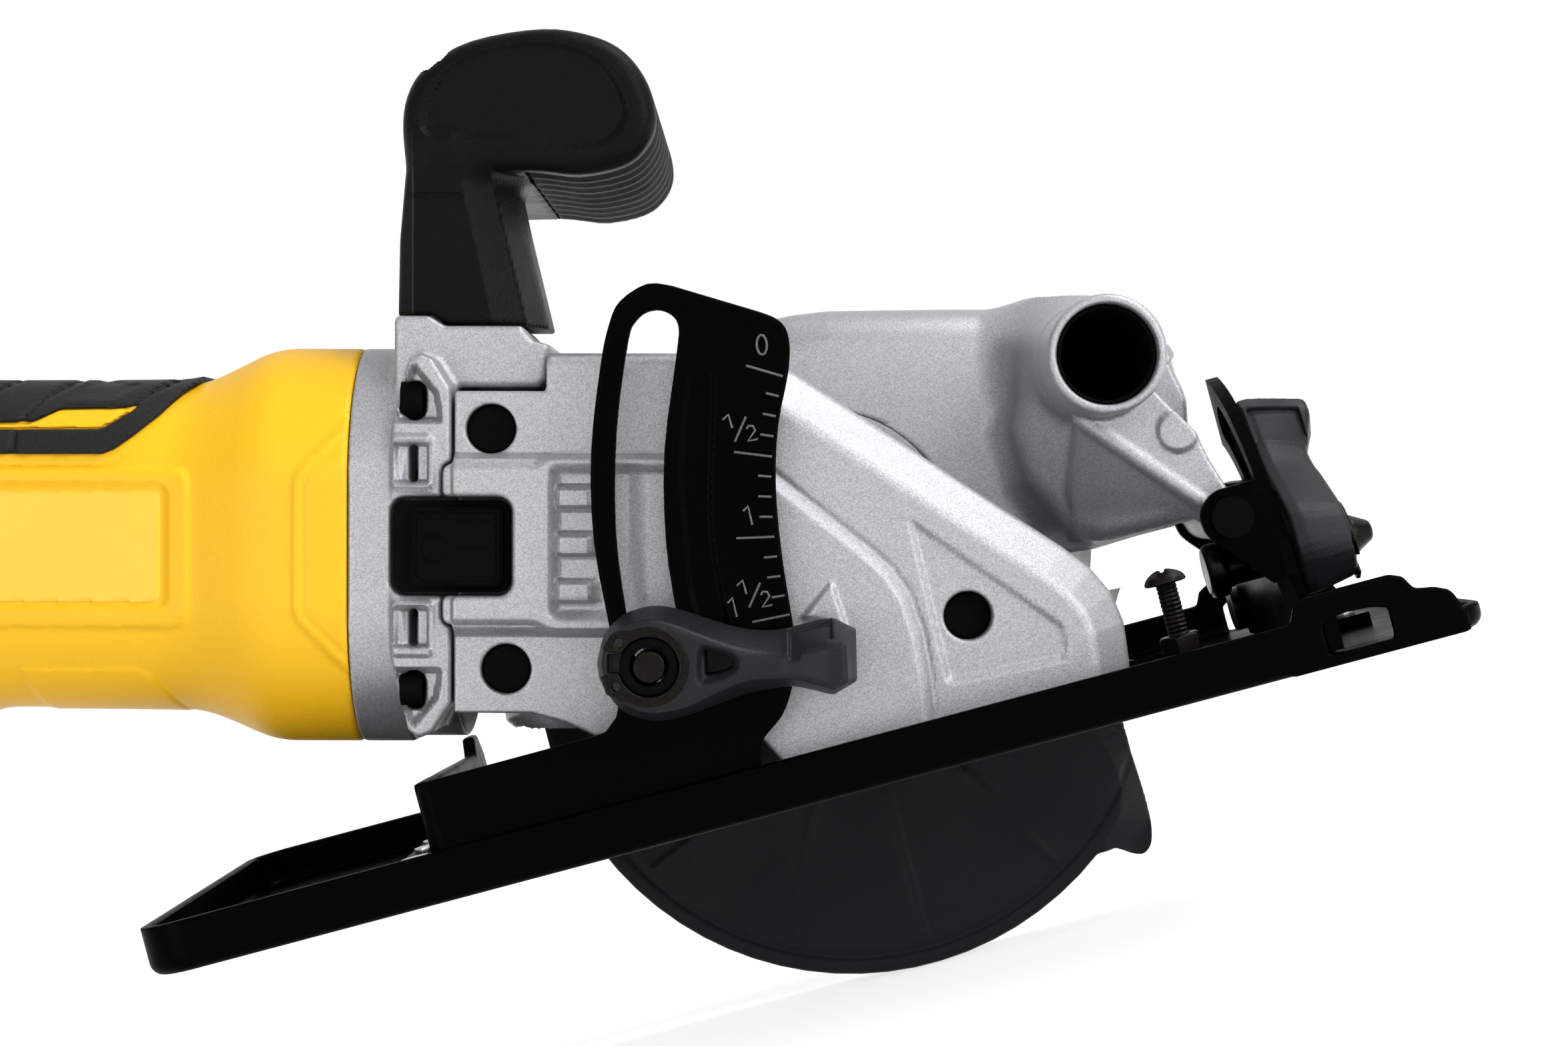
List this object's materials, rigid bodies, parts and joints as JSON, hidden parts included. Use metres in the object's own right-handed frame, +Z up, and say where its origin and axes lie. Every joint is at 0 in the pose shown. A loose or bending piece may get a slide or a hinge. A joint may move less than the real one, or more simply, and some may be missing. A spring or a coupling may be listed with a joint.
{
  "type": "circular saw",
  "caption": "Compact cordless circular saw with tilting steel shoe, depth bracket, spring-return lower guard, barrel grip and slide-on battery pack.",
  "frame": {"origin": "on the underside of the shoe, below the arbor in the motor axis plane", "axes": "+X forward along the cut, +Y towards the blade side, +Z up from the shoe"},
  "size_m": [0.4104, 0.1318, 0.2266],
  "materials": {
    "steel_black": "gloss black paint",
    "cast_silver": "fine silver coating on cast aluminium",
    "yellow_plastic": "lightly textured",
    "rubber_black": "grained",
    "plastic_black": "satin grained",
    "steel_bright": "ground",
    "steel_dark": "black oxide",
    "copper": "varnished windings",
    "red_plastic": "satin",
    "board_green": "potted board",
    "cell_blue": "shrink sleeve"
  },
  "bodies": {
    "shoe": {"shoe_plate": "steel_black", "quadrant": "steel_black", "rear_bracket": "steel_black", "shoe_fasteners": "steel_bright"},
    "bevel_frame": {"depth_bracket": "steel_black", "front_yoke": "steel_black", "rear_crossbar": "steel_black", "bevel_pins": "steel_bright", "depth_pin": "steel_dark", "bevel_bolt": "steel_dark", "stop_screw": "steel_dark", "stop_nut": "steel_dark"},
    "bevel_clamp": {"bevel_lever": "plastic_black", "bevel_lever_ring": "steel_dark"},
    "saw": {"gear_case": "cast_silver", "gear_cover": "cast_silver", "dust_chute": "cast_silver", "guard_wall": "cast_silver", "upper_guard": "cast_silver", "guard_cover": "cast_silver", "motor_flange": "cast_silver", "flange_screws": "steel_dark", "case_screws": "steel_dark", "front_handle": "plastic_black", "front_handle_grip": "rubber_black", "handle_bolts": "steel_dark", "housing_right": "yellow_plastic", "housing_left": "yellow_plastic", "housing_screws": "steel_dark", "grip_overmold": "rubber_black", "rating_plate": "yellow_plastic", "switch_body": "plastic_black", "controller": "board_green", "terminal_block": "plastic_black", "stator": "copper", "bearings": "steel_bright", "guard_spring": "steel_bright", "depth_bolt": "steel_dark", "trigger_spring": "steel_bright"},
    "rotor": {"rotor_shaft": "steel_bright", "fan": "plastic_black", "bevel_pinion": "steel_bright"},
    "layshaft": {"layshaft": "steel_bright", "bevel_gear": "steel_bright"},
    "spindle": {"spindle": "steel_bright", "spur_gear": "steel_bright", "inner_flange": "steel_bright", "blade": "steel_bright", "outer_flange": "steel_bright", "blade_screw": "steel_dark"},
    "lower_guard": {"lower_guard": "plastic_black", "guard_lever": "plastic_black"},
    "depth_clamp": {"depth_lever": "plastic_black", "depth_lever_ring": "steel_dark"},
    "trigger": {"trigger": "plastic_black"},
    "lock_off": {"lock_off_button": "red_plastic"},
    "spindle_lock": {"spindle_lock": "plastic_black"},
    "battery": {"battery_case": "plastic_black", "battery_cells": "cell_blue"},
    "battery_latch": {"battery_latch": "red_plastic"}
  },
  "joints": [
    {"name": "bevel_tilt", "type": "hinge", "parent": "shoe", "child": "bevel_frame", "pos_m": [0, 0.045, 0.008], "axis": [-1, 0, 0], "range_deg": [0, 50]},
    {"name": "depth_swing", "type": "hinge", "parent": "bevel_frame", "child": "saw", "pos_m": [0.075, 0, 0.028], "axis": [0, 1, 0], "range_deg": [0, 30]},
    {"name": "bevel_clamp_turn", "type": "hinge", "parent": "bevel_frame", "child": "bevel_clamp", "pos_m": [0.09, 0.0054, 0.01861], "axis": [1, 0, 0], "range_deg": [0, 65]},
    {"name": "depth_clamp_turn", "type": "hinge", "parent": "saw", "child": "depth_clamp", "pos_m": [-0.03431, -0.05, 0.03071], "axis": [0, -1, 0], "range_deg": [0, 65]},
    {"name": "guard_retract", "type": "hinge", "parent": "saw", "child": "lower_guard", "pos_m": [0, 0.045, 0.0181], "axis": [0, 1, 0], "range_deg": [0, 118], "stiffness_Nm_per_rad": 0.03, "springref_deg": -114.59},
    {"name": "spindle_spin", "type": "hinge", "parent": "saw", "child": "spindle", "pos_m": [0, 0.045, 0.0181], "axis": [0, 1, 0], "continuous": true},
    {"name": "layshaft_spin", "type": "hinge", "parent": "saw", "child": "layshaft", "pos_m": [0.00042, 0, 0.04283], "axis": [0, 1, 0], "continuous": true},
    {"name": "rotor_spin", "type": "hinge", "parent": "saw", "child": "rotor", "pos_m": [-0.09038, 0, 0.06716], "axis": [0.9659, 0, -0.2588], "continuous": true},
    {"name": "trigger_pull", "type": "slide", "parent": "saw", "child": "trigger", "axis": [0.2588, 0, 0.9659], "range_m": [0, 0.004], "stiffness_N_per_m": 800, "springref_m": -0.002, "deforming": ["trigger_spring"]},
    {"name": "lock_off_press", "type": "slide", "parent": "saw", "child": "lock_off", "axis": [0, 1, 0], "range_m": [0, 0.003], "stiffness_N_per_m": 600, "springref_m": -0.001},
    {"name": "spindle_lock_press", "type": "slide", "parent": "saw", "child": "spindle_lock", "axis": [0, 1, 0], "range_m": [0, 0.0025], "stiffness_N_per_m": 600, "springref_m": -0.001},
    {"name": "battery_slide", "type": "slide", "parent": "saw", "child": "battery", "axis": [0.2588, 0, 0.9659], "range_m": [0, 0.07]},
    {"name": "battery_latch_press", "type": "slide", "parent": "battery", "child": "battery_latch", "axis": [0.9659, 0, -0.2588], "range_m": [0, 0.002], "stiffness_N_per_m": 600, "springref_m": -0.001}
  ],
  "couplings": [
    {"joint": "layshaft_spin", "follows": "spindle_spin", "ratio": -1.3333},
    {"joint": "rotor_spin", "follows": "spindle_spin", "ratio": 4.4444}
  ]
}
